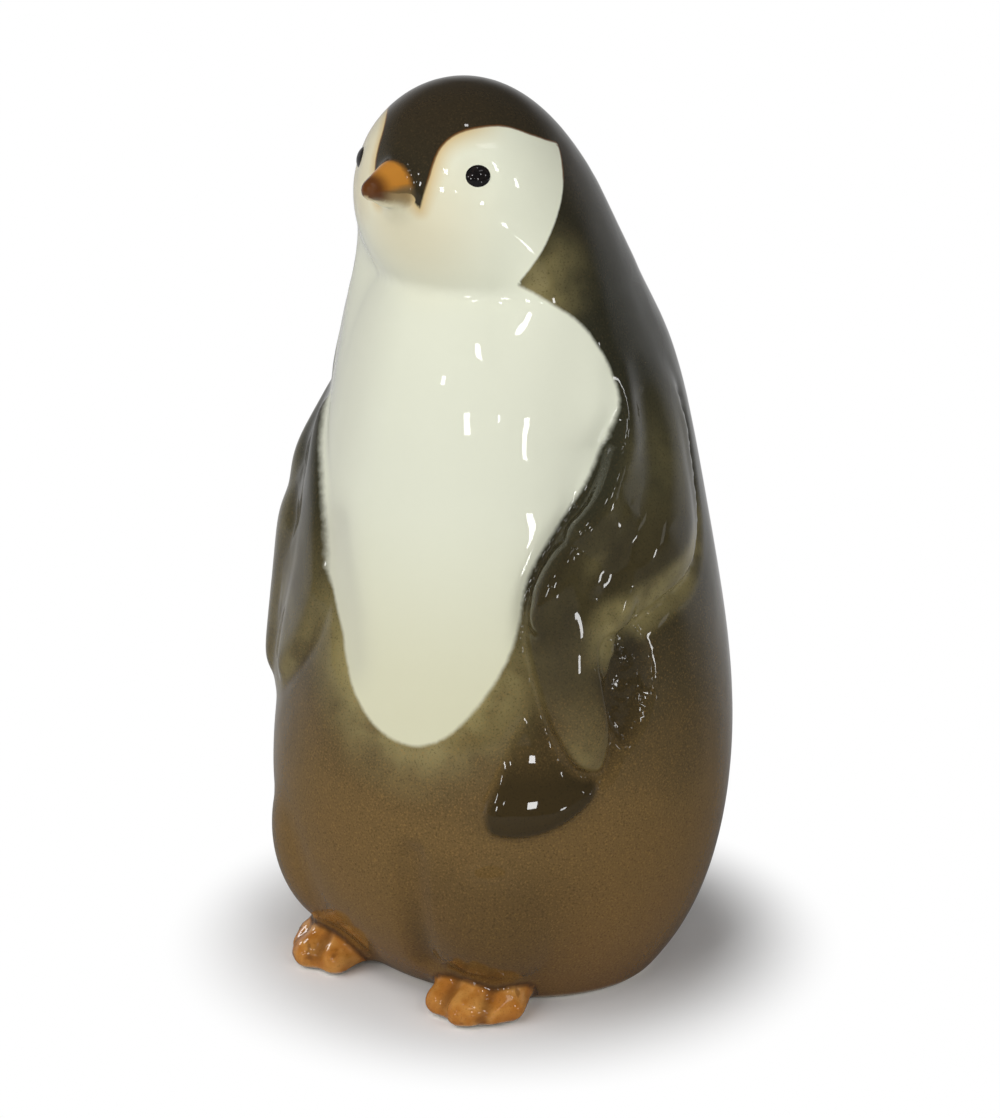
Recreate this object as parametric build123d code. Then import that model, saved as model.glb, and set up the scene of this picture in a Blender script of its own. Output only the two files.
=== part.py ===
from build123d import *
import math
import os

# Porcelain penguin chick, standing. Millimetres, +Z up, the bird faces -Y, its left flipper is on +X.
# The origin is the middle of the flat base. Every casting is placed from the stations below.

# Casting
WALL = 4.0  # fired wall of the torso and head castings
FLOOR = 5.0  # thickness of the torso floor
POUR_HOLE_DIAMETER = 14.0  # where the slip was poured in and drained, through the floor

HEIGHT = 182.0  # base to crown

# Torso stations: each rise is measured from the station below, front and back from the standing axis.
# The head and the hips keep their sizes, and what lies between them stretches to fill the height.
BASE_WIDTH = 68.0
BASE_DEPTH = 56.0
HIP_RISE = 12.0
HIP_WIDTH = 83.0
HIP_FRONT = 39.0
HIP_BACK = 38.0
BELLY_RISE = 22.0
BELLY_WIDTH = 96.0
BELLY_FRONT = 45.5
BELLY_BACK = 43.0
WAIST_RISE = 26.0
WAIST_WIDTH = 95.0
WAIST_FRONT = 43.0
WAIST_BACK = 44.3
CHEST_RISE = 35.0
CHEST_WIDTH = 83.0
CHEST_FRONT = 36.5
CHEST_BACK = 39.3
SHOULDER_RISE = 27.0
SHOULDER_WIDTH = 70.0
SHOULDER_FRONT = 31.4
SHOULDER_BACK = 34.6
COLLAR_RISE = 12.0
COLLAR_WIDTH = 62.0
COLLAR_FRONT = 28.7
COLLAR_BACK = 30.3
NECK_RISE = 9.5

# Thigh lobes, one under each side of the belly
THIGH_ANGLE = 37.0
THIGH_RISE = 16.0  # above the hips
THIGH_STANDOUT = 2.2
THIGH_WIDTH = 34.0
THIGH_LENGTH = 46.0

# Head, an egg that leans forward as it rises; its level sizes are taken at the jaw
JAW_RISE = 5.5
JAW_WIDTH = 50.6
JAW_FRONT = 28.4
JAW_BACK = 22.0
CROWN_RISE = 33.0
CROWN_FORWARD = 12.0
HEAD_RINGS = 6  # slices from the jaw to the crown

OVAL_POINTS = 16  # points that each oval slice is drawn through
OVAL_START = 45.0  # turn where a slice starts and closes, behind the left flipper and clear of every seat

# Beak, a short blunt cone
BEAK_RISE = 16.0  # above the jaw
BEAK_LENGTH = 8.8
BEAK_BASE_DIAMETER = 8.6
BEAK_TIP_DIAMETER = 4.4
BEAK_DROOP = 6.0
BEAK_ROOT = 5.0  # how far the cone reaches behind the face before it is trimmed to it

# Eyes, beads pressed on the face
EYE_RISE = 17.2  # above the jaw
EYE_ANGLE = 30.0
EYE_DIAMETER = 4.7
EYE_STANDOUT = 1.0

# Flippers: an upper arm and a hand, each a flattened tapering rod bedded in the torso.
# Drops are measured from the neck and then from the point above, angles from the front of the bird.
SHOULDER_DROP = 20.0
SHOULDER_ANGLE = 92.0
SHOULDER_BREADTH = 19.0
SHOULDER_STANDOUT = 0.9
ELBOW_DROP = 24.5
ELBOW_ANGLE = 80.5
ELBOW_BREADTH = 30.0
ELBOW_STANDOUT = 3.8
WRIST_DROP = 10.0
WRIST_ANGLE = 61.5
WRIST_BREADTH = 19.0
WRIST_STANDOUT = 4.4
TIP_DROP = 28.0
TIP_ANGLE = 58.0
TIP_BREADTH = 10.0
TIP_STANDOUT = 2.6
FLIPPER_FLATNESS = 0.5  # thickness of a flipper rod as a share of its breadth

# Feet
FOOT_SPACING = 36.0
HEEL_FORWARD = 19.5
INNER_TOE_LENGTH = 17.5
INNER_TOE_ANGLE = -13.0
MIDDLE_TOE_LENGTH = 18.5
MIDDLE_TOE_ANGLE = 8.0
OUTER_TOE_LENGTH = 13.5
OUTER_TOE_ANGLE = 40.0
HEEL_DIAMETER = 12.0
TOE_TIP_DIAMETER = 6.8
TOE_FLAT = 0.5  # depth of the flat that a toe stands on

# Tail, a small blunt wedge behind
TAIL_HEIGHT = 14.0
TAIL_LENGTH = 9.0
TAIL_WIDTH = 20.0
TAIL_THICKNESS = 8.0
TAIL_SLOPE = 50.0
TAIL_ROOT_SHARE = 0.6  # how far the wedge starts inside the torso, as a share of its length
TAIL_MIDDLE_SHARE = 0.5  # where along its length the wedge starts to round off

GROUND_SIZE = 300.0  # side of the block under the base that trims what reaches below it

crown_height = HEIGHT
jaw_height = crown_height - CROWN_RISE
neck_height = jaw_height - JAW_RISE
hip_height = HIP_RISE
rises_above_hips = BELLY_RISE + WAIST_RISE + CHEST_RISE + SHOULDER_RISE + COLLAR_RISE + NECK_RISE
stretch = (neck_height - hip_height) / rises_above_hips
belly_height = hip_height + BELLY_RISE * stretch
waist_height = belly_height + WAIST_RISE * stretch
chest_height = waist_height + CHEST_RISE * stretch
shoulder_height = chest_height + SHOULDER_RISE * stretch
collar_height = shoulder_height + COLLAR_RISE * stretch
thigh_height = hip_height + THIGH_RISE * stretch
thigh_length = THIGH_LENGTH * stretch


def oval(half_width, half_depth):
    """An ellipse as one smooth closed spline, which lofts to a light surface."""
    turns = [math.radians(OVAL_START + 360 * step / OVAL_POINTS) for step in range(OVAL_POINTS)]
    ring = [(half_width * math.cos(turn), half_depth * math.sin(turn)) for turn in turns]
    return make_face(Spline(*ring, periodic=True))


def section(station, inset=0.0):
    """One level slice of a casting, an oval between its front and back reach."""
    height, width, front, back = station
    return Pos(0, (back - front) / 2, height) * oval(width / 2 - inset, (front + back) / 2 - inset)


def spheroid(width, length):
    """A solid of revolution about Z, made from half an ellipse."""
    outline = EllipticalCenterArc((0, 0), width / 2, length / 2, start_angle=-90, arc_size=180)
    half = make_face(outline + Line((0, length / 2), (0, -length / 2)))
    return revolve(Plane.XZ * half, Axis.Z)


def head_station(rise, inset=0.0):
    """A level station of the leaning egg, at a rise above the jaw."""
    share = rise / (CROWN_RISE - inset)
    shrink = math.sqrt(1 - share**2)
    lean = 1 - (1 - share) ** 2
    jaw_middle = (JAW_BACK - JAW_FRONT) / 2
    middle = jaw_middle - (CROWN_FORWARD + jaw_middle) * lean
    half_depth = ((JAW_FRONT + JAW_BACK) / 2 - inset) * shrink
    return (jaw_height + rise, (JAW_WIDTH - 2 * inset) * shrink, half_depth - middle, half_depth + middle)


def head_solid(inset=0.0):
    """The egg from the neck plane to the crown, shrunk by the inset."""
    rises = [-JAW_RISE]
    for ring in range(HEAD_RINGS):
        rises.append((CROWN_RISE - inset) * math.sin(math.pi / 2 * ring / HEAD_RINGS))
    slices = [section(head_station(rise, inset)) for rise in rises]
    return loft(slices + [Vertex(0, -CROWN_FORWARD, crown_height - inset)])


base_station = (0, BASE_WIDTH, BASE_DEPTH / 2, BASE_DEPTH / 2)
upper_torso_stations = [
    (hip_height, HIP_WIDTH, HIP_FRONT, HIP_BACK),
    (belly_height, BELLY_WIDTH, BELLY_FRONT, BELLY_BACK),
    (waist_height, WAIST_WIDTH, WAIST_FRONT, WAIST_BACK),
    (chest_height, CHEST_WIDTH, CHEST_FRONT, CHEST_BACK),
    (shoulder_height, SHOULDER_WIDTH, SHOULDER_FRONT, SHOULDER_BACK),
    (collar_height, COLLAR_WIDTH, COLLAR_FRONT, COLLAR_BACK),
    head_station(-JAW_RISE),
]
ground = Pos(0, 0, -GROUND_SIZE / 2) * Box(GROUND_SIZE, GROUND_SIZE, GROUND_SIZE)


def outermost(solid, angle, height):
    """Where a level ray from the standing axis leaves the solid, and the skin's level normal there."""
    heading = Vector(math.sin(math.radians(angle)), -math.cos(math.radians(angle)), 0)
    hits = solid.find_intersection_points(Axis((0, 0, height), heading))
    point, normal = max(hits, key=lambda hit: hit[0].dot(heading))
    level = Vector(normal.X, normal.Y, 0).normalized()
    if level.dot(heading) < 0:
        level = level * -1
    return point, level


def make_torso_skin():
    """The outside of the torso, filled: the station loft with both thigh lobes."""
    skin = loft([section(base_station)] + [section(station) for station in upper_torso_stations])
    lobe = spheroid(THIGH_WIDTH, thigh_length)
    lobes = []
    for side in (1, -1):
        point, level = outermost(skin, side * THIGH_ANGLE, thigh_height)
        lobes.append(Pos(*(point + level * (THIGH_STANDOUT - THIGH_WIDTH / 2))) * lobe)
    return skin + lobes - ground


def make_torso(skin):
    """The torso casting: the skin less its cavity, open at the neck, with the pour hole in its floor."""
    share = FLOOR / hip_height
    floor_station = (
        FLOOR,
        BASE_WIDTH + (HIP_WIDTH - BASE_WIDTH) * share,
        BASE_DEPTH / 2 + (HIP_FRONT - BASE_DEPTH / 2) * share,
        BASE_DEPTH / 2 + (HIP_BACK - BASE_DEPTH / 2) * share,
    )
    cavity = loft([section(station, WALL) for station in [floor_station] + upper_torso_stations])
    pour_hole = Cylinder(POUR_HOLE_DIAMETER / 2, 3 * FLOOR)
    return skin - cavity - pour_hole


def make_head(skin):
    """The head casting: the egg less its cavity, which opens into the torso at the neck."""
    return skin - head_solid(WALL)


def make_beak(head_skin):
    """A blunt cone about a slightly drooping axis, trimmed where it meets the face."""
    point = outermost(head_skin, 0, jaw_height + BEAK_RISE)[0]
    droop = math.radians(BEAK_DROOP)
    axis_dir = Vector(0, -math.cos(droop), -math.sin(droop))
    side = Plane(origin=point, x_dir=axis_dir, z_dir=(1, 0, 0))
    base_radius = BEAK_BASE_DIAMETER / 2
    tip_radius = BEAK_TIP_DIAMETER / 2
    cone_end = BEAK_LENGTH - tip_radius
    root = Polyline((BEAK_LENGTH, 0), (-BEAK_ROOT, 0), (-BEAK_ROOT, base_radius), (0, base_radius))
    flank = Line((0, base_radius), (cone_end, tip_radius))
    nose = CenterArc((cone_end, 0), tip_radius, 0, 90)
    half = make_face(root + flank + nose)
    return revolve(side * half, Axis(point, axis_dir)) - head_skin


def make_eye(head_skin, side):
    """A bead whose cap stands a little proud of the face."""
    point, level = outermost(head_skin, side * EYE_ANGLE, jaw_height + EYE_RISE)
    radius = ((EYE_DIAMETER / 2) ** 2 + EYE_STANDOUT**2) / (2 * EYE_STANDOUT)
    centre = point + level * (EYE_STANDOUT - radius)
    return Pos(*centre) * Sphere(radius) - head_skin


def tapered_rod(start_radius, end_radius, run):
    """A round-ended tapering rod along +X from the origin, its end centre at the run."""
    lean = math.asin((start_radius - end_radius) / run)
    lean_degrees = math.degrees(lean)
    start_tangent = (start_radius * math.sin(lean), start_radius * math.cos(lean))
    end_tangent = (run + end_radius * math.sin(lean), end_radius * math.cos(lean))
    outline = CenterArc((0, 0), start_radius, 90 - lean_degrees, 90 + lean_degrees)
    outline += Line(start_tangent, end_tangent)
    outline += CenterArc((run, 0), end_radius, 0, 90 - lean_degrees)
    outline += Line((run + end_radius, 0), (-start_radius, 0))
    return revolve(make_face(outline), Axis.X)


def make_flipper_rod(torso_skin, start, end):
    """One flattened rod of a flipper, from (angle, height, breadth, standout) at its start to its end."""
    centres = []
    faces_out = Vector(0, 0, 0)
    for angle, height, breadth, standout in (start, end):
        point, level = outermost(torso_skin, angle, height)
        centres.append(point + level * (standout - breadth / 2 * FLIPPER_FLATNESS))
        faces_out += level
    along = centres[1] - centres[0]
    rod = tapered_rod(start[2] / 2, end[2] / 2, along.length)
    flat_rod = scale(rod, by=(1, 1, FLIPPER_FLATNESS))
    across = faces_out.cross(along)
    return Plane(origin=centres[0], x_dir=along, z_dir=along.cross(across)) * flat_rod


def make_flipper(torso_skin, side):
    """A bent arm: the upper arm and the hand joined at the elbow, trimmed where they meet the torso."""
    shoulder_point = neck_height - SHOULDER_DROP * stretch
    elbow_point = shoulder_point - ELBOW_DROP * stretch
    wrist_point = elbow_point - WRIST_DROP * stretch
    tip_point = wrist_point - TIP_DROP * stretch
    shoulder = (side * SHOULDER_ANGLE, shoulder_point, SHOULDER_BREADTH, SHOULDER_STANDOUT)
    elbow = (side * ELBOW_ANGLE, elbow_point, ELBOW_BREADTH, ELBOW_STANDOUT)
    wrist = (side * WRIST_ANGLE, wrist_point, WRIST_BREADTH, WRIST_STANDOUT)
    tip = (side * TIP_ANGLE, tip_point, TIP_BREADTH, TIP_STANDOUT)
    upper_arm = make_flipper_rod(torso_skin, shoulder, elbow)
    hand = make_flipper_rod(torso_skin, wrist, tip)
    return upper_arm + hand - torso_skin


def make_toe(heel, angle, length):
    """A tapering toe from the heel towards its tip near the ground."""
    turn = math.radians(angle)
    tip_height = TOE_TIP_DIAMETER / 2 - TOE_FLAT
    tip = Vector(heel.X + length * math.sin(turn), heel.Y - length * math.cos(turn), tip_height)
    along = tip - heel
    across = Vector(-along.Y, along.X, 0)
    rod = tapered_rod(HEEL_DIAMETER / 2, TOE_TIP_DIAMETER / 2, along.length)
    return Plane(origin=heel, x_dir=along, z_dir=across) * rod


def make_foot(torso_skin, side):
    """Three toes from one heel, flat underneath and trimmed where they meet the torso."""
    heel = Vector(FOOT_SPACING / 2, -HEEL_FORWARD, HEEL_DIAMETER / 2 - TOE_FLAT)
    toes = [
        make_toe(heel, INNER_TOE_ANGLE, INNER_TOE_LENGTH),
        make_toe(heel, MIDDLE_TOE_ANGLE, MIDDLE_TOE_LENGTH),
        make_toe(heel, OUTER_TOE_ANGLE, OUTER_TOE_LENGTH),
    ]
    foot = toes[0] + toes[1] + toes[2]
    if side < 0:
        foot = mirror(foot, Plane.YZ)
    return foot - ground - torso_skin


def make_tail(torso_skin):
    """A blunt wedge that slopes down behind the hips."""
    point = outermost(torso_skin, 180, TAIL_HEIGHT)[0]
    slope = math.radians(TAIL_SLOPE)
    axis_dir = Vector(0, math.cos(slope), -math.sin(slope))
    slices = []
    for share in (-TAIL_ROOT_SHARE, 0, TAIL_MIDDLE_SHARE):
        plane = Plane(origin=point + axis_dir * TAIL_LENGTH * share, x_dir=(1, 0, 0), z_dir=axis_dir)
        taper = math.sqrt(1 - share**2)
        slices.append(plane * oval(TAIL_WIDTH / 2 * taper, TAIL_THICKNESS / 2 * taper))
    slices.append(Vertex(*(point + axis_dir * TAIL_LENGTH)))
    return loft(slices) - torso_skin


torso_skin = make_torso_skin()
head_skin = head_solid()
nodes = {
    "torso": make_torso(torso_skin),
    "head": make_head(head_skin),
    "beak": make_beak(head_skin),
    "eye_left": make_eye(head_skin, 1),
    "eye_right": make_eye(head_skin, -1),
    "flipper_left": make_flipper(torso_skin, 1),
    "flipper_right": make_flipper(torso_skin, -1),
    "foot_left": make_foot(torso_skin, 1),
    "foot_right": make_foot(torso_skin, -1),
    "tail": make_tail(torso_skin),
}

os.makedirs("parts", exist_ok=True)
for name, shape in nodes.items():
    export_step(shape, f"parts/{name}.step")
    print(name, len(shape.solids()), round(shape.volume))
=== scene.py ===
import bpy
import bmesh
import math
import numpy as np
from mathutils import Matrix, Vector
from mathutils.bvhtree import BVHTree


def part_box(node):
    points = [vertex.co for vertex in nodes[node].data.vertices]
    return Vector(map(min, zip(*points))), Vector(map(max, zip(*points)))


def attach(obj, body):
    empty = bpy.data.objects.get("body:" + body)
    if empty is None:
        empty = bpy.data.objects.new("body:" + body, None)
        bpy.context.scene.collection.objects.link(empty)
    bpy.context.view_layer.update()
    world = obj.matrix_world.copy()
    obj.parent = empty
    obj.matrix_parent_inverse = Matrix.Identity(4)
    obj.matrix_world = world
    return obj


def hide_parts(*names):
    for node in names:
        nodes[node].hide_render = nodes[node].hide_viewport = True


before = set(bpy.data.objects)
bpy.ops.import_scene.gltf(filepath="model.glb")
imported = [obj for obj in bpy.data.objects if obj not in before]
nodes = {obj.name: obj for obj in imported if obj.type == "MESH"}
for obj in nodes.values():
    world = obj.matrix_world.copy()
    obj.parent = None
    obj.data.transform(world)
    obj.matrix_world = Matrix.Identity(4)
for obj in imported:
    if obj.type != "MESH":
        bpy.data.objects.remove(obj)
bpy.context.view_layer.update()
scene = bpy.context.scene
mm = 0.001

# the glazed skin: every casting fused, softened where slip and glaze fill the creases
skin = {
    "castings": ["torso", "head", "beak", "flipper_left", "flipper_right", "foot_left", "foot_right", "tail"],
    "voxel": 0.8,
    "allPasses": 4,
    "bodyPasses": 4,  # past the beak, which stays crisp
    "plugRadius": 9.0,
    "plugDepth": 5.0,
    "skirt": 1.2,
    "merge": 1e-7,  # in metres
}
# the toes of a foot share one low pad
pad = {"back": 0.4, "middle": 2.4, "wide": 0.42, "long": 0.43, "tall": 4.0, "floor": 0.2}
beakZone = {"front": -33.0, "low": 157.0, "high": 171.0}


def fusedSkin(s):
    bm = bmesh.new()
    for name in s["castings"]:
        bm.from_mesh(nodes[name].data)
    bmesh.ops.remove_doubles(bm, verts=bm.verts, dist=s["merge"])
    plug = Matrix.Translation((0, 0, s["plugDepth"] / 2 * mm))
    bmesh.ops.create_cone(bm, cap_ends=True, segments=48, radius1=s["plugRadius"] * mm,
                          radius2=s["plugRadius"] * mm, depth=s["plugDepth"] * mm, matrix=plug)
    for name in ("foot_left", "foot_right"):
        low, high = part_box(name)
        middle = (low + high) / 2
        span = high - low
        size = Matrix.Diagonal((span.x * pad["wide"], span.y * pad["long"], pad["tall"] * mm, 1))
        place = Matrix.Translation((middle.x, middle.y - pad["back"] * mm, pad["middle"] * mm)) @ size
        for v in bmesh.ops.create_uvsphere(bm, u_segments=40, v_segments=24, radius=1, matrix=place)["verts"]:
            v.co.z = max(v.co.z, pad["floor"] * mm)
    mesh = bpy.data.meshes.new("fused")
    bm.to_mesh(mesh)
    bm.free()
    holder = bpy.data.objects.new("fused", mesh)
    scene.collection.objects.link(holder)
    remesh = holder.modifiers.new("remesh", "REMESH")
    remesh.mode = "VOXEL"
    remesh.voxel_size = s["voxel"] * mm
    graph = bpy.context.evaluated_depsgraph_get()
    result = bmesh.new()
    result.from_mesh(holder.evaluated_get(graph).to_mesh())
    bpy.data.objects.remove(holder)
    bpy.data.meshes.remove(mesh)
    return result


def keepOuterShell(bm):  # the walls of the inside are another island
    bm.verts.ensure_lookup_table()
    top = max(bm.verts, key=lambda v: v.co.z)
    seen = {top}
    front = [top]
    while front:
        v = front.pop()
        for e in v.link_edges:
            o = e.other_vert(v)
            if o not in seen:
                seen.add(o)
                front.append(o)
    bmesh.ops.delete(bm, geom=[v for v in bm.verts if v not in seen], context="VERTS")


def soften(bm, verts, passes):
    for i in range(passes):
        bmesh.ops.smooth_vert(bm, verts=verts, factor=0.5, use_axis_x=True, use_axis_y=True, use_axis_z=True)


def nearBeak(v):
    return v.co.y < beakZone["front"] * mm and beakZone["low"] * mm < v.co.z < beakZone["high"] * mm


skinBm = fusedSkin(skin)
keepOuterShell(skinBm)
soften(skinBm, skinBm.verts, skin["allPasses"])
soften(skinBm, [v for v in skinBm.verts if not nearBeak(v)], skin["bodyPasses"])
print("skin", len(skinBm.verts), "points", len(skinBm.faces), "faces")

# strokes: where a thumb or tool worked the clay, as (points in mm, reach, height, mirrored)
strokes = {
    "chestFold": ([(-14, -34.2, 95), (-11, -36.6, 87.7), (-7, -39, 79), (-5.5, -40.3, 72)], 6.0, -0.7, False),
    "armRidge": ([(32.4, -5.7, 128), (35.7, -7, 120), (37.2, -11, 113.4), (38, -16, 106.8),
                  (35.9, -20.7, 99.6), (34.4, -25.9, 92.7), (33.2, -27.7, 85)], 4.2, 2.2, False),
    "armGroove": ([(35.7, -2.4, 123), (38.4, -2.7, 115.7), (40.5, -4.6, 109.6), (42.6, -9.4, 102.2),
                   (42.1, -14.8, 95.5), (41.2, -19.7, 88.6)], 5.0, -1.4, False),
    "breast": ([(6, -31, 121), (14, -28.5, 121), (22, -24, 121)], 20.0, 0.9, False),
    "thighFold": ([(13.1, -43.9, 35.5), (13, -43, 26.7), (12, -41.1, 19.3), (10.7, -36.9, 10.8)],
                  5.0, -1.7, False),
    "innerToe": ([(17.6, -28.5, 7.5), (17.3, -34, 7), (17.1, -38.5, 4.5), (17.1, -40.5, 2)], 2.6, -0.9, True),
    "outerToe": ([(21.7, -27.7, 7.5), (23.5, -31.5, 6.5), (24.9, -35, 4), (25.3, -37, 2)], 2.6, -0.9, True),
    "eyeSocket": ([(13.9, -24.4, 166.2)], 5.2, -0.35, True),
    "lowerBill": ([(0, -33.5, 160.8)], 5.5, 1.1, False),
}
# raised and sunk forms with a worked edge, outlined in (angle, height) round the standing axis
forms = {
    "flipper": {
        "loop": [(80.4, 133), (78.1, 126.3), (74.5, 120.1), (68.2, 111.5), (61.2, 104.7), (54, 97.9),
                 (49, 92.6), (46.3, 86.3), (45.9, 79.9), (48.2, 71.2), (51.8, 62.7), (56.4, 56.4),
                 (61.5, 54.1), (64.3, 56), (65.7, 61.4), (63.9, 71.3), (62.7, 78.1), (65, 81.2),
                 (74, 82.4), (83.7, 85.1), (92.8, 87.1), (99.7, 90.3), (105.6, 97), (109.3, 107.7),
                 (112.1, 118.5), (110.4, 124.4), (104, 131), (93.6, 134)],
        "scale": 0.72, "rise": 1.3, "shoulder": 3.5, "cut": 1.7, "reach": 4.0,
        "fade": (130.0, 112.0), "lip": None, "both": True,
    },
    "hollow": {
        "loop": [(72.5, 82), (67.5, 78), (65.6, 70), (66.2, 64), (69.5, 58.5), (74, 61.5), (77.5, 67),
                 (78, 73), (76, 79)],
        "scale": 0.77, "rise": -2.6, "shoulder": 2.2, "cut": 0.0, "reach": 1.0,
        "fade": None, "lip": None, "both": True,
    },
    "pool": {
        "loop": [(46.7, 66.7), (41.9, 61.3), (38.3, 54), (35, 47.5), (36.5, 43), (43.7, 42), (53.1, 44.2),
                 (60.8, 49), (62, 53), (56.9, 54.5), (52, 59.5), (49.5, 64.5)],
        "scale": 0.76, "rise": 2.3, "shoulder": 3.2, "cut": 0.2, "reach": 2.0,
        "fade": None, "lip": (60.0, 46.0), "both": False,
    },
    "farLeaf": {  # the front edge of the right flipper
        "loop": [(-58, 116), (-45, 109), (-34, 102), (-27, 94), (-22.5, 87), (-21.5, 80), (-25, 72),
                 (-33, 65), (-41, 59.5), (-46, 62), (-48, 72), (-47, 80), (-48, 88), (-52, 96), (-60, 106)],
        "scale": 0.72, "rise": 2.2, "shoulder": 4.5, "cut": 0.5, "reach": 3.0,
        "fade": None, "lip": None, "both": False,
    },
}
# the whole right flipper, leaf and hand together
farWing = {
    "loop": [(-58, 116), (-45, 109), (-34, 102), (-27, 94), (-22.5, 87), (-21.5, 80), (-25, 72), (-34, 63),
             (-46, 55.5), (-56, 52), (-64, 52), (-67, 60), (-65, 72), (-64, 78), (-67, 80), (-84, 84),
             (-100, 90), (-110, 108), (-112, 118), (-104, 131), (-80, 133)],
    "scale": 0.72, "both": False,
}


def roundLoop(corners, steps=6):
    c = np.array(corners, float)
    loop = []
    for i in range(len(c)):
        p, q, r, s = c[i - 1], c[i], c[(i + 1) % len(c)], c[(i + 2) % len(c)]
        for k in range(steps):
            t = k / steps
            bend = (2 * p - 5 * q + 4 * r - s) * t ** 2 + (3 * q - p - 3 * r + s) * t ** 3
            loop.append(0.5 * (2 * q + (r - p) * t + bend))
    return np.array(loop)


def depthInside(flat, loop):  # positive inside the outline, in the chart's own units
    best = np.full(len(flat), 1e9)
    inside = np.zeros(len(flat), bool)
    for a, b in zip(loop, np.roll(loop, -1, axis=0)):
        ab = b - a
        t = np.clip((flat - a) @ ab / max(ab @ ab, 1e-12), 0, 1)
        best = np.minimum(best, np.hypot(flat[:, 0] - a[0] - t * ab[0], flat[:, 1] - a[1] - t * ab[1]))
        if a[1] != b[1]:
            crossing = (a[1] > flat[:, 1]) != (b[1] > flat[:, 1])
            inside ^= crossing & (flat[:, 0] < a[0] + (flat[:, 1] - a[1]) / ab[1] * ab[0])
    return np.where(inside, best, -best)


def distanceToLine(points, line):
    line = np.array(line, float)
    if len(line) == 1:
        return np.linalg.norm(points - line[0], axis=1)
    best = np.full(len(points), 1e9)
    for a, b in zip(line[:-1], line[1:]):
        ab = b - a
        t = np.clip((points - a) @ ab / (ab @ ab), 0, 1)
        best = np.minimum(best, np.linalg.norm(points - a - t[:, None] * ab, axis=1))
    return best


def ease(x, low, high):
    t = np.clip((x - low) / (high - low), 0, 1)
    return t * t * (3 - 2 * t)


def skinArrays(bm):
    bm.normal_update()
    points = np.array([v.co for v in bm.verts]) / mm
    normals = np.array([v.normal for v in bm.verts])
    return points, normals


def placePoints(bm, points):
    for v, p in zip(bm.verts, points):
        v.co = p * mm


def formDepth(points, form):
    angle = np.degrees(np.arctan2(points[:, 0], -points[:, 1]))
    angle = np.abs(angle) if form["both"] else angle
    size = np.array([form["scale"], 1.0])
    return depthInside(np.stack([angle, points[:, 2]], 1) * size, roundLoop(form["loop"]) * size)


def workClay(bm, strokes, forms):
    points, normals = skinArrays(bm)
    lift = np.zeros(len(points))
    for line, reach, height, both in strokes.values():
        for side in ((1, -1) if both else (1,)):
            far = distanceToLine(points, [(side * x, y, z) for x, y, z in line]) / reach
            lift += height * np.clip(1 - far ** 2, 0, 1) ** 2
    for form in forms.values():
        depth = formDepth(points, form)
        crest = np.sqrt(np.clip(1 - (1 - np.clip(depth / form["shoulder"], 0, 1)) ** 2, 0, 1)) * form["rise"]
        if form["lip"]:
            crest *= ease(points[:, 2], *form["lip"])
        valley = np.where(depth < 0, np.clip(1 + depth / form["reach"], 0, 1) ** 2, 0) * form["cut"]
        lift += (crest - valley) * (ease(points[:, 2], *form["fade"]) if form["fade"] else 1.0)
    placePoints(bm, points + normals * lift[:, None])


def fillCreases(bm, weight, passes, gain):  # only fills, never cuts
    points, normals = skinArrays(bm)
    soften(bm, [v for v, w in zip(bm.verts, weight) if w > 0], passes)
    eased = np.array([v.co for v in bm.verts]) / mm
    out = np.clip(np.einsum("ij,ij->i", eased - points, normals), 0, None) * weight * gain
    placePoints(bm, points + normals * out[:, None])


# the nape: head and shoulders run into each other behind, and the crease stays under the chin
nape = {"low": 116, "high": 172, "axisY": -4.0, "frontAngle": 44.0, "backAngle": 72.0, "step": 3,
        "blurs": 3, "neckLow": 130, "neckHigh": 160, "neckFront": -10, "filled": 0.02,
        "passes": 14}


def turnsIn(a, b, c):  # b lies on or under the line from a to c
    return (b[1] - a[1]) * (c[0] - a[0]) <= (c[1] - a[1]) * (b[0] - a[0])


def fairNape(bm, n):
    points = skinArrays(bm)[0]
    x, y = points[:, 0], points[:, 1] - n["axisY"]
    angle = np.degrees(np.arctan2(np.abs(x), -y))
    radius = np.hypot(x, y)
    rows = n["high"] - n["low"] + 1
    profile = np.zeros((180 // n["step"] + 1, rows))
    level = np.clip(np.round(points[:, 2]).astype(int) - n["low"], -1, rows)
    band = (level >= 0) & (level < rows)
    np.maximum.at(profile, (np.round(angle[band] / n["step"]).astype(int), level[band]), radius[band])
    extra = np.zeros_like(profile)
    for i, line in enumerate(profile):
        hull = []
        for z, r in enumerate(line):
            while len(hull) > 1 and turnsIn(hull[-2], hull[-1], (z, r)):
                hull.pop()
            hull.append((z, r))
        extra[i] = np.interp(np.arange(rows), *zip(*hull)) - line
    for i in range(n["blurs"]):
        extra = (np.roll(extra, 1, 0) + extra * 2 + np.roll(extra, -1, 0)) / 4
    a = np.clip(angle / n["step"], 0, len(extra) - 1.001)
    z = np.clip(points[:, 2] - n["low"], 0, rows - 1.001)
    i, k = a.astype(int), z.astype(int)
    fa, fz = a - i, z - k
    below = extra[i, k] * (1 - fa) + extra[i + 1, k] * fa
    above = extra[i, k + 1] * (1 - fa) + extra[i + 1, k + 1] * fa
    fill = below * (1 - fz) + above * fz
    inBand = (points[:, 2] > n["low"]) & (points[:, 2] < n["high"])
    fill *= ease(angle, n["frontAngle"], n["backAngle"]) * inBand
    out = np.stack([x, y, np.zeros(len(x))], 1) / np.maximum(radius, 1e-6)[:, None]
    placePoints(bm, points + out * fill[:, None])
    neck = (points[:, 2] > n["neckLow"]) & (points[:, 2] < n["neckHigh"]) & (points[:, 1] > n["neckFront"])
    soften(bm, [v for v, w, c in zip(bm.verts, fill, neck) if w > n["filled"] or c], n["passes"])


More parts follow.
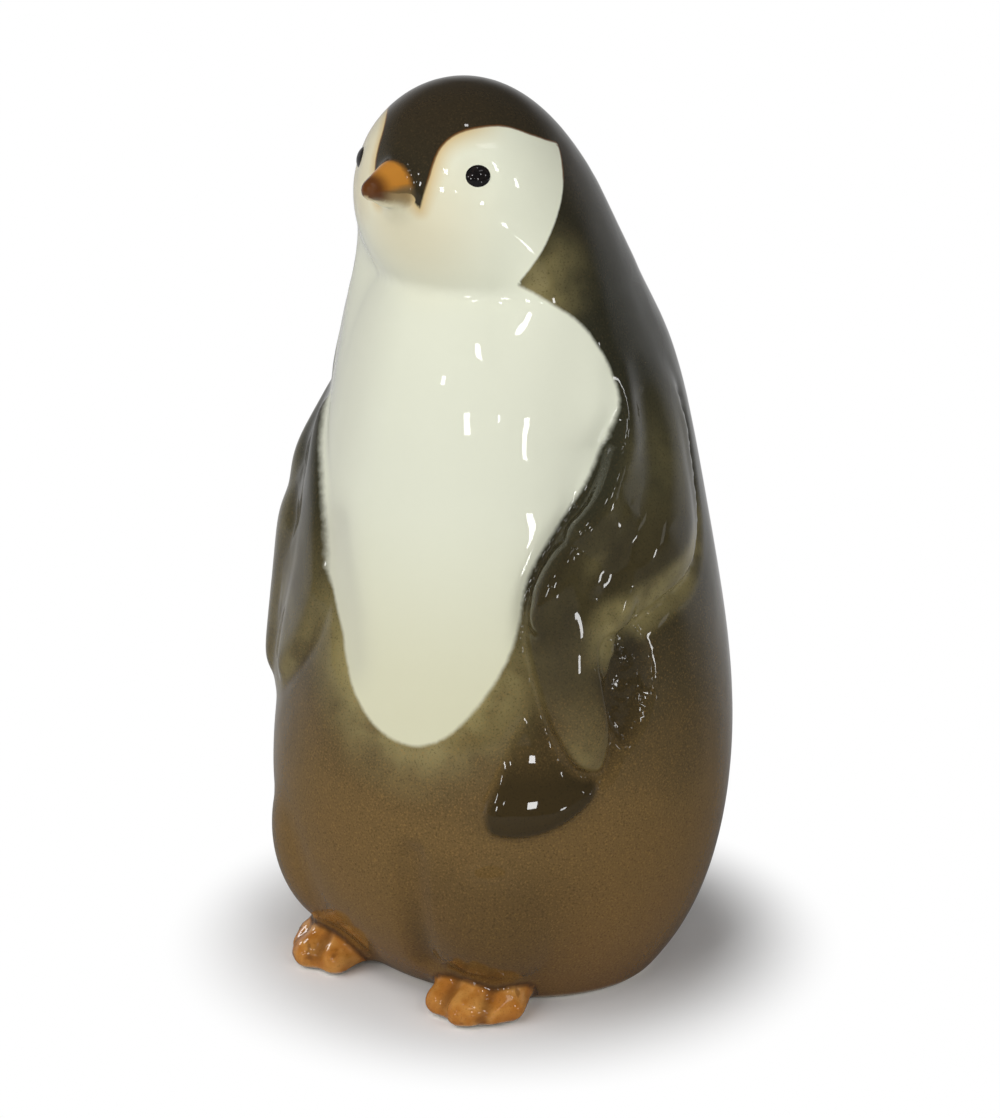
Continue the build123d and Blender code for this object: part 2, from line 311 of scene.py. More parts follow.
def nodeTree(name):
    bm = bmesh.new()
    bm.from_mesh(nodes[name].data)
    bmesh.ops.remove_doubles(bm, verts=bm.verts, dist=skin["merge"])
    tree = BVHTree.FromBMesh(bm)
    bm.free()
    return tree


ankleZone = {"top": 20, "front": -14, "far": 9.0}


def ankleGap(points):  # nought where body and foot are equally near
    gap = np.full(len(points), ankleZone["far"])
    trees = [nodeTree(name) for name in ("torso", "foot_left", "foot_right")]
    for i in np.nonzero((points[:, 2] < ankleZone["top"]) & (points[:, 1] < ankleZone["front"]))[0]:
        body, left, right = (t.find_nearest(Vector(points[i] * mm))[3] / mm for t in trees)
        gap[i] = abs(body - min(left, right))
    return gap


# how far each place is smoothed or filled, with its passes and gain
clay = {
    "flipperRim": 3.0, "rimPasses": 3, "flipperInside": 1.5, "insidePasses": 10,
    "wingFade": (132, 122), "wingRounds": 2, "wingFill": (160, 1.5), "wingFrom": 0.6, "wingPasses": 14,
    "leafRim": 2.5, "leafBelow": 0.95, "leafPasses": 8,
    "footFill": (50, 1.5), "footFrom": 0.3, "footPasses": 9,
    "ankleReach": 2.4, "anklePasses": 6,
    "thighFill": (40, 1.3),
    "lastPasses": 1,
}
# the pour hole is sunk in the bare base
pour = {"radius": 7.0, "depth": 9.0, "floor": 1.2}

toes = {name: strokes[name] for name in ("innerToe", "outerToe")}
workClay(skinBm, {name: stroke for name, stroke in strokes.items() if name not in toes}, forms)
points = skinArrays(skinBm)[0]
inner = formDepth(points, forms["flipper"])
soften(skinBm, [v for v, d in zip(skinBm.verts, inner) if abs(d) < clay["flipperRim"]], clay["rimPasses"])
soften(skinBm, [v for v, d in zip(skinBm.verts, inner) if d > clay["flipperInside"]], clay["insidePasses"])
farArm = ease(formDepth(points, farWing), -1.0, 2.5) * ease(points[:, 2], *clay["wingFade"])
for i in range(clay["wingRounds"]):
    fillCreases(skinBm, farArm, *clay["wingFill"])
soften(skinBm, [v for v, w in zip(skinBm.verts, farArm) if w > clay["wingFrom"]], clay["wingPasses"])
leafEdge = np.abs(formDepth(points, forms["farLeaf"]))
rim = (leafEdge < clay["leafRim"]) & (farArm < clay["leafBelow"])
soften(skinBm, [v for v, r in zip(skinBm.verts, rim) if r], clay["leafPasses"])
fairNape(skinBm, nape)
points = skinArrays(skinBm)[0]
x, y, z = points.T
footWeight = ease(z, 10, 7.5) * ease(y, -24, -27)
fillCreases(skinBm, footWeight, *clay["footFill"])
soften(skinBm, [v for v, f in zip(skinBm.verts, footWeight) if f > clay["footFrom"]], clay["footPasses"])
workClay(skinBm, toes, {})
ankles = [v for v, g in zip(skinBm.verts, ankleGap(points)) if g < clay["ankleReach"]]
soften(skinBm, ankles, clay["anklePasses"])
farThigh = ease(x, 2, -4) * ease(y, -26, -30) * ease(z, 8, 12) * ease(z, 56, 48)
fillCreases(skinBm, farThigh, *clay["thighFill"])
for v in skinBm.verts:
    if v.co.z < pour["floor"] * mm and v.co.xy.length < pour["radius"] * mm:
        v.co.z += pour["depth"] * mm
soften(skinBm, [v for v in skinBm.verts if not nearBeak(v)], clay["lastPasses"])
print("clay worked")

# painted outlines: bib in (angle, height) round the standing axis,
# mask in (angle, rise) round the head's middle
paint = {
    "bib": [(0, 148), (38, 147), (62.7, 140.6), (71.9, 134), (75.9, 125.6), (72.3, 118.6), (65.6, 111.0),
            (55.6, 101.5), (46.8, 92.2), (42.9, 80.4), (36.4, 70.8), (26.2, 61.6), (15.5, 58.3), (2.7, 61.4),
            (-8.6, 70.3), (-12.7, 76.5), (-24.4, 88.3), (-35, 98.8), (-48, 107), (-60, 116), (-67, 126),
            (-66, 134), (-60, 142), (-40, 148)],
    "bibScale": 0.66,
    "bibSoft": 0.45,
    "maskMiddle": (0.0, -8.0, 158.0),
    "mask": [(0, 12), (8, 11), (12.8, 6.3), (13.6, 6.0), (15.0, 10), (17.6, 19.5), (22.0, 33.5), (34.0, 41.5),
             (56.0, 44.5), (76.0, 39.5), (84.5, 37.0), (93.6, 34.6), (94.0, 34.0), (91.2, 27.5), (88.5, 22.0),
             (82.0, 8.2), (71.5, -9.0), (63.0, -22.5), (54.0, -40.0), (40, -60), (0, -60)],
    "maskScale": 0.43,
    "billRoot": (0.0, -31.4, 165.0),
    "billDroop": 8.0,
    "cheek": (2.0, -32.0, 158.5),
    "neck": (21.0, -16.5, 146.5),
    "maskFrom": 136.0,
    "bibTo": 150.0,
}


def paintLayers(bm, p):
    points, normals = skinArrays(bm)
    x, y, z = points.T
    angle = np.degrees(np.arctan2(x, -y))
    size = np.array([p["bibScale"], 1.0])
    bib = depthInside(np.stack([angle, z], 1) * size, roundLoop(p["bib"]) * size)
    head = points - np.array(p["maskMiddle"])
    turnTo = np.degrees(np.abs(np.arctan2(head[:, 0], -head[:, 1])))
    rise = np.degrees(np.arcsin(np.clip(head[:, 2] / np.linalg.norm(head, axis=1), -1, 1)))
    half = np.array(p["mask"], float)
    whole = np.concatenate([half, (half * (-1, 1))[::-1]])
    right = ease(-x, 0, 4)  # the right side of the mask is brushed a little higher, and wider below
    brushedTurn = turnTo + right * (2 - 16 * ease(rise, 34, 2) * ease(turnTo, 34, 48))
    brushedRise = rise - 3 * right * ease(rise, 8, 20)
    mask = depthInside(np.stack([brushedTurn, brushedRise], 1), roundLoop(whole)) * p["maskScale"]
    mask = np.where(z > p["maskFrom"], mask, -9)
    leaf = formDepth(points, forms["farLeaf"])
    bib = np.where(z < p["bibTo"], np.minimum(bib, (0.3 - leaf) * 0.6), -9)
    white = np.where(mask > bib * p["bibSoft"], mask, bib * p["bibSoft"])

    droop = math.radians(p["billDroop"])
    axis = np.array([0, -math.cos(droop), -math.sin(droop)])
    up = np.array([0, axis[2], -axis[1]])
    fromRoot = points - np.array(p["billRoot"])
    along = fromRoot @ axis
    off = fromRoot - along[:, None] * axis
    apart = np.linalg.norm(off, axis=1)
    around = np.degrees(np.arctan2(np.abs(off[:, 0]), off @ up))
    onBill = ease(along, 0.1, 1.3) * ease(apart, 5.9, 5.0)
    orange = onBill * ease(around, 108, 86)
    tip = onBill * ease(along, 3.6, 7.0) * ease(around, 165, 130)
    smudge = onBill * ease(around, 82, 100) * ease(around, 158, 128) * ease(along, 9.0, 6.0)
    white = white + np.clip(2 - white, 0, None) * ease(onBill, 0.1, 0.6) * ease(around, 108, 126)

    front = ease(turnTo, 62, 30) * ease(z, 150, 160)
    peach = front * np.clip(1 - mask / 5.5, 0, 1) ** 1.6
    cheek = ease(np.linalg.norm(points - np.array(p["cheek"]), axis=1), 22, 3) * 0.36
    line = ease(rise, 12, 20) * (mask > bib)
    halo = np.clip(1 + bib / 13.0, 0, 1) ** 1.5 * ease(z, 92, 70)
    neck = ease(np.linalg.norm(points - np.array(p["neck"]), axis=1), 14, 1) * 0.85
    halo = np.maximum(halo, neck)
    flip = formDepth(points, forms["flipper"])
    under = ease(np.abs(flip - 2.0), 8, 2.0) * ease(np.abs(angle), 54, 66)
    under = under * ease(z, 105, 92) * ease(z, 72, 79)
    halo = np.maximum(halo, 0.95 * under * np.where(x > 0, 1, 0.55))
    tips = ease(flip, 0, 1.5) * ease(z, 68, 57) * 0.5
    wing = formDepth(points, farWing)
    farHand = ease(wing, -1, 1) * ease(-x, 0, 5) * ease(z, 100, 62) * 0.6
    halo = np.maximum(halo, np.maximum(tips, farHand))
    halo = np.maximum(halo, 0.22 * ease(flip, 0, 3) * ease(z, 130, 112))
    shade = ease(formDepth(points, forms["pool"]), -0.6, 1.4) * (0.45 + 0.55 * ease(z, 61, 52))
    hand = ease(flip, -0.5, 1.0) * ease(z, 62, 76) * (x > 0)
    shade = np.maximum(shade, 0.7 * hand * ease(z, 112, 96) * (1 - under))
    bare = ease(z, 1.6, 0.4) * ease(normals[:, 2], -0.5, -0.9) + ((z > 1) & (z < 14) & (np.hypot(x, y) < 9))
    # painted shade in the grooves between the toes
    grooveShade = np.zeros(len(points))
    for name in ("innerToe", "outerToe"):
        for side in (1, -1):
            groove = [(side * a, b, c) for a, b, c in strokes[name][0]]
            grooveShade = np.maximum(grooveShade, ease(distanceToLine(points, groove), 2.0, 0.4))
    shade = np.maximum(shade, 0.5 * ease(formDepth(points, forms["hollow"]), 0, 1.2))
    thigh = ease(distanceToLine(points, strokes["thighFold"][0]), 5.0, 0.3) * ease(z, 36, 16)
    shade = np.maximum(shade, 0.6 * thigh)
    shade = np.maximum(shade, 0.45 * ease(wing, 1.5, 5.0) * ease(z, 92, 80))
    shade = np.maximum(shade, 0.42 * ease(np.abs(angle - 36), 34, 5) * ease(z, 42, 28) * ease(z, 3, 12))
    cheek = np.maximum(cheek, 0.4 * ease(-x, 3, 9) * ease(z, 150, 160))
    ripple = ease(formDepth(points, forms["hollow"]), 0.3, 1.5)
    # painted shade: a lilac-grey shadow along the chest fold, and lilac-grey shade over the right half of the
    # bib
    fold = ease(distanceToLine(points, strokes["chestFold"][0]), 10.0, 0.5)
    lilacShade = 0.3 * fold + 0.3 * ease(angle, 0, -30) * ease(z, 70, 80)
    # painted shadow: a dark line where the body meets the feet
    ankleShadow = ease(ankleGap(points), 1.6, 0.3)
    layers = {"white": white, "peach": np.maximum(peach, cheek), "line": line, "halo": halo, "shade": shade,
              "orange": orange, "tip": tip, "smudge": smudge, "bare": np.clip(bare, 0, 1), "grooveShade": grooveShade,
              "ripple": ripple, "lilacShade": lilacShade, "ankleShadow": ankleShadow}
    for name, values in layers.items():
        layer = bm.verts.layers.float.new(name)
        for v, value in zip(bm.verts, values):
            v[layer] = float(value)


paintLayers(skinBm, paint)
print("painted")

# pieces: the skin is parted along the castings' own seams
seam = {"neck": 143.5, "near": 4.0}


def partSkin(bm):
    trees = {name: nodeTree(name) for name in skin["castings"]}
    boxes = {name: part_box(name) for name in skin["castings"]}
    near = seam["near"] * mm
    owner = []
    for f in bm.faces:
        c = f.calc_center_median()
        best = "head" if c.z > seam["neck"] * mm else "torso"
        reach = trees[best].find_nearest(c)[3]
        for name in skin["castings"]:
            low, high = boxes[name]
            outside = any(c[k] < low[k] - near or c[k] > high[k] + near for k in range(3))
            if name in ("torso", "head") or outside:
                continue
            d = trees[name].find_nearest(c)[3]
            if d < reach:
                best, reach = name, d
        owner.append(best)
    return owner


skinBm.normal_update()
owners = partSkin(skinBm)
glazeNormal = skinBm.verts.layers.float_vector.new("glazeNormal")
for v in skinBm.verts:
    v[glazeNormal] = v.normal
print("parted")

looks = {
    "torso": {"name": "torso_casting", "slot": "torso_glaze"},
    "head": {"name": "head_casting", "slot": "head_glaze"},
    "beak": {"name": "beak_cone", "slot": "beak_glaze"},
    "flipper_left": {"name": "left_flipper", "slot": "flipper_glaze"},
    "flipper_right": {"name": "right_flipper", "slot": "flipper_glaze"},
    "foot_left": {"name": "left_foot", "slot": "foot_glaze"},
    "foot_right": {"name": "right_foot", "slot": "foot_glaze"},
    "tail": {"name": "tail_stub", "slot": "tail_glaze"},
}
pieces = {}
for name, look in looks.items():
    bm = skinBm.copy()
    bm.faces.ensure_lookup_table()
    bmesh.ops.delete(bm, geom=[f for f, o in zip(bm.faces, owners) if o != name], context="FACES")
    rim = [e for e in bm.edges if e.is_boundary]
    # a short wall inwards, so that no cap shows in a seam
    skirt = bmesh.ops.extrude_edge_only(bm, edges=rim)["geom"]
    layer = bm.verts.layers.float_vector["glazeNormal"]
    for v in [g for g in skirt if isinstance(g, bmesh.types.BMVert)]:
        v.co -= v[layer] * skin["skirt"] * mm
    bmesh.ops.holes_fill(bm, edges=[e for e in bm.edges if e.is_boundary], sides=0)
    bmesh.ops.triangulate(bm, faces=[f for f in bm.faces if len(f.verts) > 4])
    for f in bm.faces:
        f.smooth = True
    normals = [v[layer].copy() for v in bm.verts]
    bm.verts.layers.float_vector.remove(layer)
    mesh = bpy.data.meshes.new(look["name"])
    bm.to_mesh(mesh)
    bm.free()
    mesh.normals_split_custom_set_from_vertices([tuple(n) for n in normals])
    piece = bpy.data.objects.new(look["name"], mesh)
    scene.collection.objects.link(piece)
    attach(piece, "root")
    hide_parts(name)
    pieces[name] = piece
    print("piece", name, len(mesh.polygons))

# eyes: pressed beads with a flattened rim
eye = {"radius": 2.65, "tall": 0.88, "bulge": 1.25, "sink": 0.75, "rimDrop": 0.18, "rings": 24,
       "segments": 40, "headMiddle": (0, -8, 160)}


def makeEye(node, name):
    low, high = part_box(node)
    middle = (low + high) / 2
    out = (middle - Vector(eye["headMiddle"]) * mm).normalized()
    bm = bmesh.new()
    bmesh.ops.create_uvsphere(bm, u_segments=eye["segments"], v_segments=eye["rings"],
                              radius=eye["radius"] * mm)
    bmesh.ops.scale(bm, vec=(1, eye["tall"], eye["bulge"] / eye["radius"]), verts=bm.verts)
    for v in bm.verts:  # a fuller crown over a tight rim
        v.co.z *= 1.0 - eye["rimDrop"] * (Vector(v.co.xy).length / (eye["radius"] * mm)) ** 2
    spin = out.to_track_quat("Z", "Y").to_matrix().to_4x4()
    bmesh.ops.transform(bm, matrix=Matrix.Translation(middle - out * eye["sink"] * mm) @ spin, verts=bm.verts)
    for f in bm.faces:
        f.smooth = True
    mesh = bpy.data.meshes.new(name)
    bm.to_mesh(mesh)
    bm.free()
    bead = bpy.data.objects.new(name, mesh)
    scene.collection.objects.link(bead)
    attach(bead, "root")
    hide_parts(node)
    return bead


eyes = [makeEye("eye_left", "left_eye"), makeEye("eye_right", "right_eye")]
print("eyes")


# finishes
def srgb(r, g, b):
    line = [c / 255 / 12.92 if c <= 10 else ((c / 255 + 0.055) / 1.055) ** 2.4 for c in (r, g, b)]
    return (*line, 1)


glaze = {"roughness": 0.5, "coat": 1.0, "coatRoughness": 0.02, "ior": 1.5, "crumple": 6.0, "waves": 0.1,
         "waveDepth": 0.002, "waveScale": 110, "crumpleScale": 330, "grainScale": 2600}
coat = {
    "ramp": [(0.00, (116, 84, 46)), (0.12, (118, 91, 51)), (0.24, (112, 89, 51)), (0.35, (84, 70, 42)),
             (0.46, (62, 56, 37)), (0.60, (49, 48, 34)), (0.80, (46, 45, 33)), (1.00, (55, 46, 31))],
    "halo": (150, 138, 92),
    "shade": (46, 38, 20),
    "white": (232, 234, 214),
    "low": (222, 220, 190),
    "face": (240, 242, 220),
    # painted shade on the bib, lilac-grey
    "lilacShade": (186, 184, 170),
    "peach": (214, 182, 116),
    "edge": (112, 66, 26),
    "speckDark": (36, 29, 18),
    "speckLight": (158, 120, 66),
    "orange": (206, 138, 52),
    "tip": (84, 44, 20),
    "smudge": (134, 110, 70),
    # painted shadow where the body meets the feet
    "ankleShadow": (78, 50, 24),
    "bare": (222, 214, 198),
    "height": 0.182,  # in metres
}
# the groove colour is painted shade between the toes
footCoat = {"tan": (178, 114, 46), "pale": (206, 148, 76), "groove": (92, 52, 22), "spot": (96, 56, 26),
            "speck": (104, 62, 28), "waves": 0.4}
eyeCoat = {"black": (20, 18, 18), "brown": (36, 30, 28), "waves": 0.03}


class Wires:  # short words for node links
    def __init__(self, name):
        self.mat = bpy.data.materials.new(name)
        self.mat.use_nodes = True
        self.tree = self.mat.node_tree
        self.shader = self.tree.nodes["Principled BSDF"]
        self.spot = self.tree.nodes.new("ShaderNodeTexCoord").outputs["Object"]

    def node(self, kind, **settings):
        n = self.tree.nodes.new(kind)
        for key, value in settings.items():
            setattr(n, key, value)
        return n

    def link(self, a, b):
        self.tree.links.new(a, b)

    def noise(self, scale, detail=2.0, rough=0.5):
        n = self.node("ShaderNodeTexNoise")
        n.inputs["Scale"].default_value = scale
        n.inputs["Detail"].default_value = detail
        n.inputs["Roughness"].default_value = rough
        self.link(self.spot, n.inputs["Vector"])
        return n.outputs["Fac"]

    def layer(self, name):
        return self.node("ShaderNodeAttribute", attribute_name=name).outputs["Fac"]

    def math(self, op, a, b=0.0):
        n = self.node("ShaderNodeMath", operation=op)
        for socket, value in zip(n.inputs, (a, b)):
            if isinstance(value, (int, float)):
                socket.default_value = value
            else:
                self.link(value, socket)
        return n.outputs[0]

    def ease(self, value, low, high, top=1.0):
        n = self.node("ShaderNodeMapRange", interpolation_type="SMOOTHSTEP")
        n.inputs["From Min"].default_value = low
        n.inputs["From Max"].default_value = high
        n.inputs["To Max"].default_value = top
        self.link(value, n.inputs["Value"])
        return n.outputs["Result"]

    def mix(self, fac, a, b):
        n = self.node("ShaderNodeMix", data_type="RGBA")
        for socket, value in ((n.inputs["Factor"], fac), (n.inputs[6], a), (n.inputs[7], b)):
            if isinstance(value, (int, float, tuple)):
                socket.default_value = value
            else:
                self.link(value, socket)
        return n.outputs[2]

    def ramp(self, fac, stops):
        n = self.node("ShaderNodeValToRGB")
        for i, (at, colour) in enumerate(stops):
            stop = n.color_ramp.elements[i] if i < 2 else n.color_ramp.elements.new(at)
            stop.position = at
            stop.color = srgb(*colour)
        self.link(fac, n.inputs["Fac"])
        return n.outputs["Color"]

    def glazed(self, colour, waves):
        self.link(colour, self.shader.inputs["Base Color"])
        self.shader.inputs["Roughness"].default_value = glaze["roughness"]
        self.shader.inputs["Specular IOR Level"].default_value = 0.0
        self.shader.inputs["Coat Weight"].default_value = glaze["coat"]
        self.shader.inputs["Coat Roughness"].default_value = glaze["coatRoughness"]
        self.shader.inputs["Coat IOR"].default_value = glaze["ior"]
        bump = self.node("ShaderNodeBump")
        bump.inputs["Strength"].default_value = waves
        bump.inputs["Distance"].default_value = glaze["waveDepth"]
        crumpled = self.math("MULTIPLY", self.noise(glaze["crumpleScale"], 2.0), glaze["crumple"])
        crumpled = self.math("MULTIPLY", self.layer("ripple"), crumpled)
        waved = self.math("ADD", self.noise(glaze["waveScale"], 1.0), crumpled)
        self.link(waved, bump.inputs["Height"])
        self.link(bump.outputs["Normal"], self.shader.inputs["Coat Normal"])
        return self.mat


def coatGlaze(name):
    w = Wires(name)
    xyz = w.node("ShaderNodeSeparateXYZ")
    w.link(w.spot, xyz.inputs[0])
    cloud = w.math("MULTIPLY", w.math("SUBTRACT", w.noise(55, 3.0), 0.5), 0.14)
    height = w.math("ADD", w.math("DIVIDE", xyz.outputs["Z"], coat["height"]), cloud)
    body = w.ramp(height, coat["ramp"])
    patchy = w.ease(w.noise(140, 2.0), 0.0, 0.7)
    body = w.mix(w.math("MULTIPLY", w.layer("halo"), patchy), body, srgb(*coat["halo"]))
    body = w.mix(w.math("MULTIPLY", w.layer("shade"), 0.85), body, srgb(*coat["shade"]))
    grain = w.noise(glaze["grainScale"], 2.0, 0.6)
    low = w.ease(height, 0.62, 0.2)
    clear = w.math("SUBTRACT", 1.0, w.layer("shade"))
    lightness = w.math("ADD", w.math("MULTIPLY", low, 0.4), 0.06)
    light = w.math("MULTIPLY", w.ease(grain, 0.54, 0.7), lightness)
    light = w.math("MULTIPLY", light, clear)
    body = w.mix(light, body, srgb(*coat["speckLight"]))
    body = w.mix(w.math("MULTIPLY", w.ease(grain, 0.46, 0.3), 0.38), body, srgb(*coat["speckDark"]))

    wobble = w.math("MULTIPLY", w.math("SUBTRACT", w.noise(700, 2.0, 0.6), 0.5), 0.2)
    depth = w.math("ADD", w.layer("white"), wobble)
    pale = w.mix(w.ease(xyz.outputs["Z"], 0.11, 0.06), srgb(*coat["white"]), srgb(*coat["low"]))
    pale = w.mix(w.ease(xyz.outputs["Z"], 0.138, 0.150), pale, srgb(*coat["face"]))
    # painted lilac-grey shade on the white
    pale = w.mix(w.layer("lilacShade"), pale, srgb(*coat["lilacShade"]))
    pale = w.mix(w.math("MULTIPLY", w.layer("peach"), 0.85), pale, srgb(*coat["peach"]))
    colour = w.mix(w.ease(depth, -0.25, 0.25), body, pale)
    rim = w.math("MULTIPLY", w.ease(depth, -0.45, -0.05), w.ease(depth, 0.35, 0.0))
    rim = w.math("MULTIPLY", rim, w.layer("line"))
    colour = w.mix(w.math("MULTIPLY", rim, 0.7), colour, srgb(*coat["edge"]))

    colour = w.mix(w.layer("orange"), colour, srgb(*coat["orange"]))
    colour = w.mix(w.math("MULTIPLY", w.layer("smudge"), 0.75), colour, srgb(*coat["smudge"]))
    colour = w.mix(w.math("MULTIPLY", w.layer("tip"), 0.93), colour, srgb(*coat["tip"]))
    # painted shadow where the body meets the feet
    colour = w.mix(w.math("MULTIPLY", w.layer("ankleShadow"), 0.85), colour, srgb(*coat["ankleShadow"]))
    colour = w.mix(w.layer("bare"), colour, srgb(*coat["bare"]))
    return w.glazed(colour, glaze["waves"])


def footGlaze():
    w = Wires("footGlaze")
    tan = w.mix(w.ease(w.noise(240, 2.0), 0.35, 0.68), srgb(*footCoat["tan"]), srgb(*footCoat["pale"]))
    # painted shade along the toe grooves
    tan = w.mix(w.math("MULTIPLY", w.layer("grooveShade"), 0.6), tan, srgb(*footCoat["groove"]))
    tan = w.mix(w.ease(w.noise(300, 1.0), 0.66, 0.74, 0.5), tan, srgb(*footCoat["spot"]))
    grain = w.noise(glaze["grainScale"], 2.0, 0.6)
    tan = w.mix(w.math("MULTIPLY", w.ease(grain, 0.45, 0.3), 0.3), tan, srgb(*footCoat["speck"]))
    # painted shadow where the foot meets the body
    tan = w.mix(w.math("MULTIPLY", w.layer("ankleShadow"), 0.85), tan, srgb(*coat["ankleShadow"]))
    return w.glazed(w.mix(w.layer("bare"), tan, srgb(*coat["bare"])), footCoat["waves"])


def eyeGlaze():
    w = Wires("eyeGlaze")
    cloud = w.ease(w.noise(900, 2.0), 0.45, 0.7)
    return w.glazed(w.mix(cloud, srgb(*eyeCoat["black"]), srgb(*eyeCoat["brown"])), eyeCoat["waves"])


finishes = {"torso": coatGlaze("torsoGlaze"), "head": coatGlaze("headGlaze"), "beak": coatGlaze("beakGlaze"),
            "flipper": coatGlaze("flipperGlaze"), "tail": coatGlaze("tailGlaze"), "foot": footGlaze(),
            "eye": eyeGlaze()}
for name, piece in pieces.items():
    piece.data.materials.append(finishes[name.split("_")[0]])
for bead in eyes:
    bead.data.materials.append(finishes["eye"])
print("finishes")

# stage: a floor that keeps the shadow close by and is white further out
# the room in front is dim, the sweep behind is pale
studio = {"turn": 40.0, "floorSize": 8.0, "floor": 0.95, "floorGlossy": 0.3, "floorRoughness": 0.9,
          "whiteFrom": 0.042, "whiteAt": 0.072, "sweep": 0.45, "room": 0.09, "camera": 1.0,
          "sweepFloor": (0.02, -0.25), "sweepTurn": (0.15, -0.6), "sweepRise": (0.6, 0.1)}
facing = (math.sin(math.radians(studio["turn"])), -math.cos(math.radians(studio["turn"])), 0.0)


def along(tree, spot):  # how far a point or ray lies towards the camera
    dot = tree.nodes.new("ShaderNodeVectorMath")
    dot.operation = "DOT_PRODUCT"
    dot.inputs[1].default_value = facing
    tree.links.new(spot, dot.inputs[0])
    return dot.outputs["Value"]


bpy.ops.mesh.primitive_plane_add(size=studio["floorSize"], location=(0, 0, 0))
floor = bpy.context.object
floor.name = "floor"
w = Wires("paleFloor")
path = w.node("ShaderNodeLightPath")
tones = [(studio[key],) * 3 + (1,) for key in ("floor", "floorGlossy")]
w.link(w.mix(path.outputs["Is Glossy Ray"], *tones), w.shader.inputs["Base Color"])
w.shader.inputs["Roughness"].default_value = studio["floorRoughness"]
w.shader.inputs["Specular IOR Level"].default_value = 0.0
white = w.node("ShaderNodeEmission")
reach = w.node("ShaderNodeVectorMath", operation="LENGTH")
w.link(w.spot, reach.inputs[0])
clear = w.ease(reach.outputs["Value"], studio["whiteFrom"], studio["whiteAt"])
clear = w.math("MULTIPLY", clear, path.outputs["Is Camera Ray"])
behind = w.ease(along(w.tree, w.spot), *studio["sweepFloor"], studio["sweep"])
behind = w.math("MULTIPLY", behind, path.outputs["Is Glossy Ray"])
blend = w.node("ShaderNodeMixShader")
w.link(w.math("MAXIMUM", clear, behind), blend.inputs["Fac"])
w.link(w.shader.outputs["BSDF"], blend.inputs[1])
w.link(white.outputs["Emission"], blend.inputs[2])
w.link(blend.outputs["Shader"], w.tree.nodes["Material Output"].inputs["Surface"])
floor.data.materials.append(w.mat)

world = bpy.data.worlds.new("studio")
scene.world = world
world.use_nodes = True
tree = world.node_tree
sky = tree.nodes["Background"]
ray = tree.nodes.new("ShaderNodeTexCoord").outputs["Generated"]
axes = tree.nodes.new("ShaderNodeSeparateXYZ")
tree.links.new(ray, axes.inputs[0])
both = tree.nodes.new("ShaderNodeMath")
both.operation = "MULTIPLY"
sweeps = ((along(tree, ray), studio["sweepTurn"]), (axes.outputs["Z"], studio["sweepRise"]))
for socket, (value, (dim, full)) in zip(both.inputs, sweeps):
    fade = tree.nodes.new("ShaderNodeMapRange")
    fade.interpolation_type = "SMOOTHSTEP"
    fade.inputs["From Min"].default_value = dim
    fade.inputs["From Max"].default_value = full
    tree.links.new(value, fade.inputs["Value"])
    tree.links.new(fade.outputs["Result"], socket)
level = tree.nodes.new("ShaderNodeMapRange")
level.inputs["To Min"].default_value = studio["room"]
level.inputs["To Max"].default_value = studio["sweep"]
tree.links.new(both.outputs[0], level.inputs["Value"])
tree.links.new(level.outputs["Result"], sky.inputs["Strength"])
sky.inputs["Color"].default_value = (1, 1, 1, 1)
seen = tree.nodes.new("ShaderNodeBackground")
seen.inputs["Color"].default_value = (1, 1, 1, 1)
seen.inputs["Strength"].default_value = studio["camera"]
path = tree.nodes.new("ShaderNodeLightPath")
pick = tree.nodes.new("ShaderNodeMixShader")
tree.links.new(path.outputs["Is Camera Ray"], pick.inputs["Fac"])
tree.links.new(sky.outputs["Background"], pick.inputs[1])
tree.links.new(seen.outputs["Background"], pick.inputs[2])
tree.links.new(pick.outputs["Shader"], tree.nodes["World Output"].inputs["Surface"])

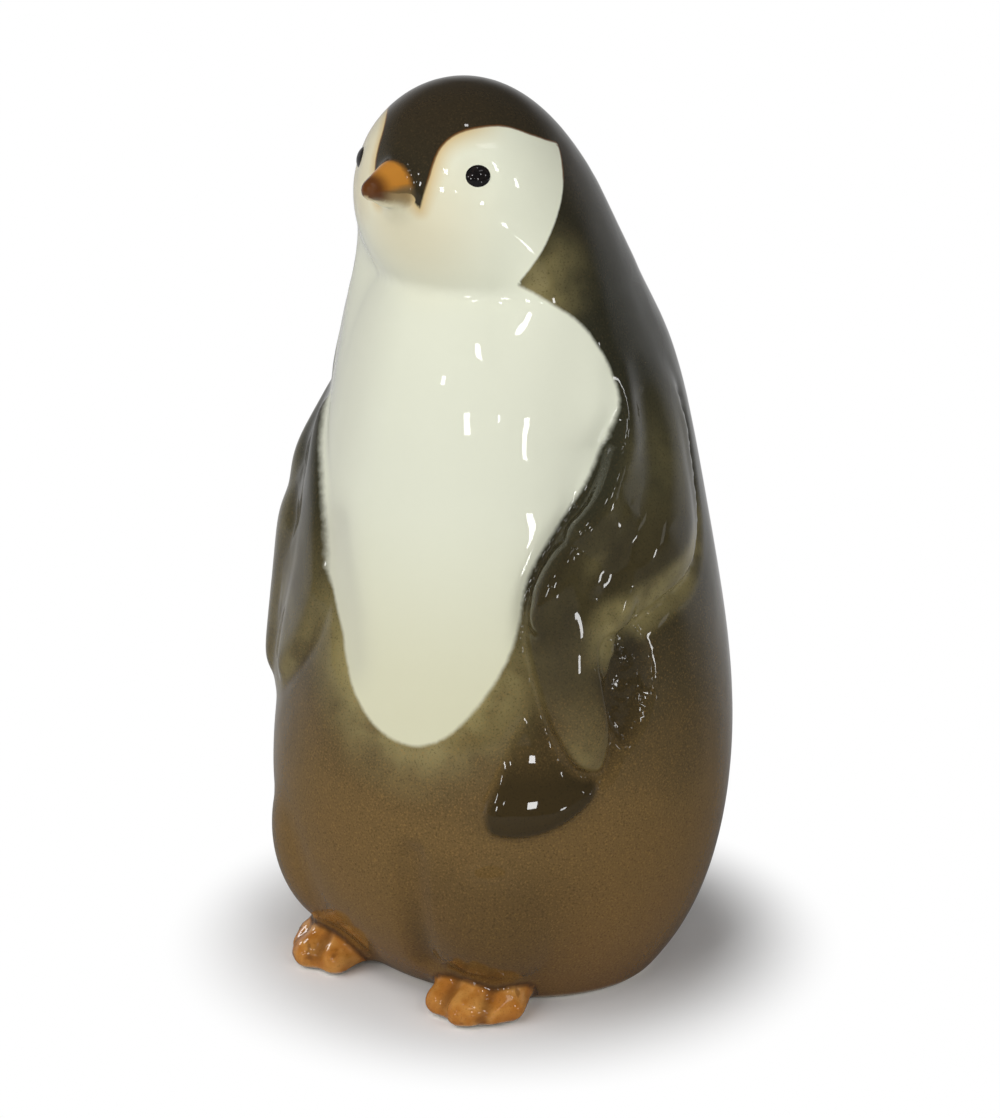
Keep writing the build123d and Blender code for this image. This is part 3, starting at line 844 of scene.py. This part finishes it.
# lamps: (angle round the bird, rise, distance, width, height, watts, seen in the glaze)
lamps = {
    "softKey": (-8, 43, 0.9, 0.8, 0.8, 4.5, False),
    "softFill": (80, 28, 0.9, 0.7, 0.7, 1.7, False),
    "softLeft": (-50, 22, 0.9, 0.7, 0.7, 1.0, False),
    "windowA": (9, 7, 1.0, 0.07, 0.11, 0.40, True),
    "windowB": (45, 6, 1.0, 0.06, 0.10, 0.32, True),
    "windowC": (14, 27, 1.0, 0.08, 0.08, 0.30, True),
    "windowD": (-7, 16, 1.0, 0.05, 0.07, 0.18, True),
    "windowE": (27, 9, 1.0, 0.025, 0.05, 0.07, True),
    "windowF": (108, -5, 0.6, 0.03, 0.06, 0.07, True),
    "windowG": (62, 34, 1.0, 0.07, 0.09, 0.25, True),
    "windowH": (45, 76, 1.0, 0.05, 0.05, 0.10, True),
    "windowJ": (62, -8, 0.4, 0.026, 0.02, 0.022, True),
    "windowK": (87, 24, 1.0, 0.05, 0.12, 0.22, True),
    "footSpark": (-99, 38, 1.0, 0.22, 0.22, 1.2, True),
    "footSparkLow": (-98, 14, 1.0, 0.16, 0.16, 0.5, True),
    "footSparkHigh": (100, 58, 1.0, 0.20, 0.20, 0.8, True),
    "panelRight": (118, 4, 1.0, 0.12, 0.22, 0.06, True),
    "panelHigh": (70, 55, 1.0, 0.30, 0.10, 0.20, True),
}
lampAim = Vector((0, -0.01, 0.1))
footGroup = bpy.data.collections.new("feet")  # the small sparks light the feet alone
for name in ("foot_left", "foot_right"):
    footGroup.objects.link(pieces[name])
for name, (angle, rise, far, wide, tall, watts, shows) in lamps.items():
    data = bpy.data.lights.new(name, "AREA")
    data.shape = "RECTANGLE"
    data.size = wide
    data.size_y = tall
    data.energy = watts
    lamp = bpy.data.objects.new(name, data)
    scene.collection.objects.link(lamp)
    a, r = math.radians(angle), math.radians(rise)
    to = Vector((math.sin(a) * math.cos(r), -math.cos(a) * math.cos(r), math.sin(r)))
    lamp.location = lampAim + to * far
    lamp.rotation_euler = to.to_track_quat("Z", "Y").to_euler()
    lamp.visible_glossy = shows
    if name.startswith("footSpark"):
        lamp.light_linking.receiver_collection = footGroup
print("lamps")

# camera at the photograph's viewing angle
shot = {"reach": 576.0, "axisY": -6.0, "height": 275.0, "tilt": 18.3, "focal": 3029.0, "centreX": 484.0,
        "middleX": 500.0, "tall": 1118.0, "sensor": 36.0}
turn = math.radians(studio["turn"])
tilt = math.radians(shot["tilt"])
camData = bpy.data.cameras.new("camera")
camera = bpy.data.objects.new("camera", camData)
scene.collection.objects.link(camera)
camera.location = (shot["reach"] * math.sin(turn) * mm,
                   (-shot["reach"] * math.cos(turn) + shot["axisY"]) * mm,
                   shot["height"] * mm)
camera.rotation_euler = (math.pi / 2 - tilt, 0, turn)
camData.sensor_width = shot["sensor"]
camData.sensor_fit = "AUTO"
camData.lens = shot["focal"] / shot["tall"] * shot["sensor"]
camData.shift_x = (shot["middleX"] - shot["centreX"]) / shot["tall"]
scene.camera = camera

scene.view_settings.view_transform = "Standard"
